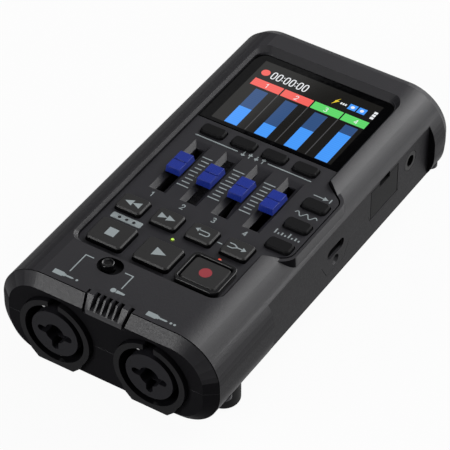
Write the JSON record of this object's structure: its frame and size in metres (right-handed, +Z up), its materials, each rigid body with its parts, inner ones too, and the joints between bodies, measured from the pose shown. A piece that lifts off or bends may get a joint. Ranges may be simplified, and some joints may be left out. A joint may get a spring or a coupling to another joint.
{
  "type": "digital multitrack recorder",
  "caption": "Handheld multitrack audio recorder with combination input sockets, faders, transport keys, a colour screen and a sliding battery door.",
  "frame": {"origin": "middle of the footprint at the bottom of the feet", "axes": "+X to the right side, +Y to the rear with the screen, +Z up"},
  "size_m": [0.0712, 0.132, 0.038],
  "materials": {
    "case_plastic": "fine matte texture",
    "panel_plastic": "smooth matte",
    "screen_glass": "black glossy lens",
    "display": "lit display",
    "board": "solder mask",
    "plated_steel": "plated",
    "key_plastic": "smooth matte",
    "black_rubber": "matte rubber",
    "black_plastic": "satin",
    "blue_plastic": "satin",
    "green_light": "clear light pipe",
    "red_light": "clear light pipe",
    "brass": "polished",
    "cell_jacket": "printed sleeve"
  },
  "bodies": {
    "case": {"top_cover": "case_plastic", "bottom_cover": "case_plastic", "control_panel": "panel_plastic", "screen_lens": "screen_glass", "display_module": "display", "main_board": "board", "fader_bodies": "plated_steel", "key_switches": "black_plastic", "record_frame": "case_plastic", "play_light": "green_light", "record_light": "red_light", "selector_body": "plated_steel", "microphone_grille": "case_plastic", "microphone_capsules": "plated_steel", "socket_shell_a": "black_plastic", "socket_shell_b": "black_plastic", "socket_insert_a": "black_plastic", "socket_insert_b": "black_plastic", "socket_contacts": "brass", "phone_socket": "black_plastic", "card_socket": "plated_steel", "data_socket": "plated_steel", "power_body": "plated_steel", "volume_body": "plated_steel", "battery_cells": "cell_jacket", "battery_contacts": "plated_steel", "front_feet": "black_rubber", "case_screws": "plated_steel"},
    "track_key_1": {"track_key_1": "black_rubber"},
    "track_key_2": {"track_key_2": "black_rubber"},
    "track_key_3": {"track_key_3": "black_rubber"},
    "track_key_4": {"track_key_4": "black_rubber"},
    "rewind_key": {"rewind_key": "key_plastic"},
    "forward_key": {"forward_key": "key_plastic"},
    "undo_key": {"undo_key": "key_plastic"},
    "bounce_key": {"bounce_key": "key_plastic"},
    "stop_key": {"stop_key": "key_plastic"},
    "play_key": {"play_key": "key_plastic"},
    "record_key": {"record_key": "key_plastic"},
    "input_key": {"input_key": "black_rubber"},
    "effect_key": {"effect_key": "black_rubber"},
    "rhythm_key": {"rhythm_key": "black_rubber"},
    "fader_1": {"fader_lever_1": "plated_steel", "fader_cap_1": "blue_plastic"},
    "fader_2": {"fader_lever_2": "plated_steel", "fader_cap_2": "blue_plastic"},
    "fader_3": {"fader_lever_3": "plated_steel", "fader_cap_3": "blue_plastic"},
    "fader_4": {"fader_lever_4": "plated_steel", "fader_cap_4": "blue_plastic"},
    "selector": {"selector_knob": "black_plastic"},
    "power_switch": {"power_knob": "black_plastic"},
    "volume": {"volume_wheel": "black_plastic"},
    "battery_lid": {"battery_door": "case_plastic", "door_feet": "black_rubber"},
    "port_lid": {"port_cover": "black_rubber"}
  },
  "joints": [
    {"name": "track_key_1_press", "type": "slide", "parent": "case", "child": "track_key_1", "axis": [0, 0, 1], "range_m": [-0.0008, 0], "stiffness_N_per_m": 900},
    {"name": "track_key_2_press", "type": "slide", "parent": "case", "child": "track_key_2", "axis": [0, 0, 1], "range_m": [-0.0008, 0], "stiffness_N_per_m": 900},
    {"name": "track_key_3_press", "type": "slide", "parent": "case", "child": "track_key_3", "axis": [0, 0, 1], "range_m": [-0.0008, 0], "stiffness_N_per_m": 900},
    {"name": "track_key_4_press", "type": "slide", "parent": "case", "child": "track_key_4", "axis": [0, 0, 1], "range_m": [-0.0008, 0], "stiffness_N_per_m": 900},
    {"name": "rewind_key_press", "type": "slide", "parent": "case", "child": "rewind_key", "axis": [0, 0, 1], "range_m": [-0.0008, 0], "stiffness_N_per_m": 900},
    {"name": "forward_key_press", "type": "slide", "parent": "case", "child": "forward_key", "axis": [0, 0, 1], "range_m": [-0.0008, 0], "stiffness_N_per_m": 900},
    {"name": "undo_key_press", "type": "slide", "parent": "case", "child": "undo_key", "axis": [0, 0, 1], "range_m": [-0.0008, 0], "stiffness_N_per_m": 900},
    {"name": "bounce_key_press", "type": "slide", "parent": "case", "child": "bounce_key", "axis": [0, 0, 1], "range_m": [-0.0008, 0], "stiffness_N_per_m": 900},
    {"name": "stop_key_press", "type": "slide", "parent": "case", "child": "stop_key", "axis": [0, 0, 1], "range_m": [-0.0008, 0], "stiffness_N_per_m": 900},
    {"name": "play_key_press", "type": "slide", "parent": "case", "child": "play_key", "axis": [0, 0, 1], "range_m": [-0.0008, 0], "stiffness_N_per_m": 900},
    {"name": "record_key_press", "type": "slide", "parent": "case", "child": "record_key", "axis": [0, 0, 1], "range_m": [-0.0008, 0], "stiffness_N_per_m": 900},
    {"name": "input_key_press", "type": "slide", "parent": "case", "child": "input_key", "axis": [0, 0, 1], "range_m": [-0.0008, 0], "stiffness_N_per_m": 900},
    {"name": "effect_key_press", "type": "slide", "parent": "case", "child": "effect_key", "axis": [0, 0, 1], "range_m": [-0.0008, 0], "stiffness_N_per_m": 900},
    {"name": "rhythm_key_press", "type": "slide", "parent": "case", "child": "rhythm_key", "axis": [0, 0, 1], "range_m": [-0.0008, 0], "stiffness_N_per_m": 900},
    {"name": "fader_1_slide", "type": "slide", "parent": "case", "child": "fader_1", "axis": [0, 1, 0], "range_m": [-0.0085, 0.0085]},
    {"name": "fader_2_slide", "type": "slide", "parent": "case", "child": "fader_2", "axis": [0, 1, 0], "range_m": [-0.0085, 0.0085]},
    {"name": "fader_3_slide", "type": "slide", "parent": "case", "child": "fader_3", "axis": [0, 1, 0], "range_m": [-0.0085, 0.0085]},
    {"name": "fader_4_slide", "type": "slide", "parent": "case", "child": "fader_4", "axis": [0, 1, 0], "range_m": [-0.0085, 0.0085]},
    {"name": "selector_slide", "type": "slide", "parent": "case", "child": "selector", "axis": [1, 0, 0], "range_m": [0, 0.0016]},
    {"name": "power_slide", "type": "slide", "parent": "case", "child": "power_switch", "axis": [0, 1, 0], "range_m": [0, 0.003]},
    {"name": "volume_turn", "type": "hinge", "parent": "case", "child": "volume", "pos_m": [-0.0275, -0.01, 0.0231], "axis": [0, 0, 1], "range_deg": [-140, 140]},
    {"name": "battery_lid_slide", "type": "slide", "parent": "case", "child": "battery_lid", "axis": [0, 1, 0], "range_m": [0, 0.057]},
    {"name": "port_lid_swing", "type": "hinge", "parent": "case", "child": "port_lid", "pos_m": [0.0334, 0.0303, 0.0194], "axis": [0, 1, 0], "range_deg": [0, 100]}
  ]
}
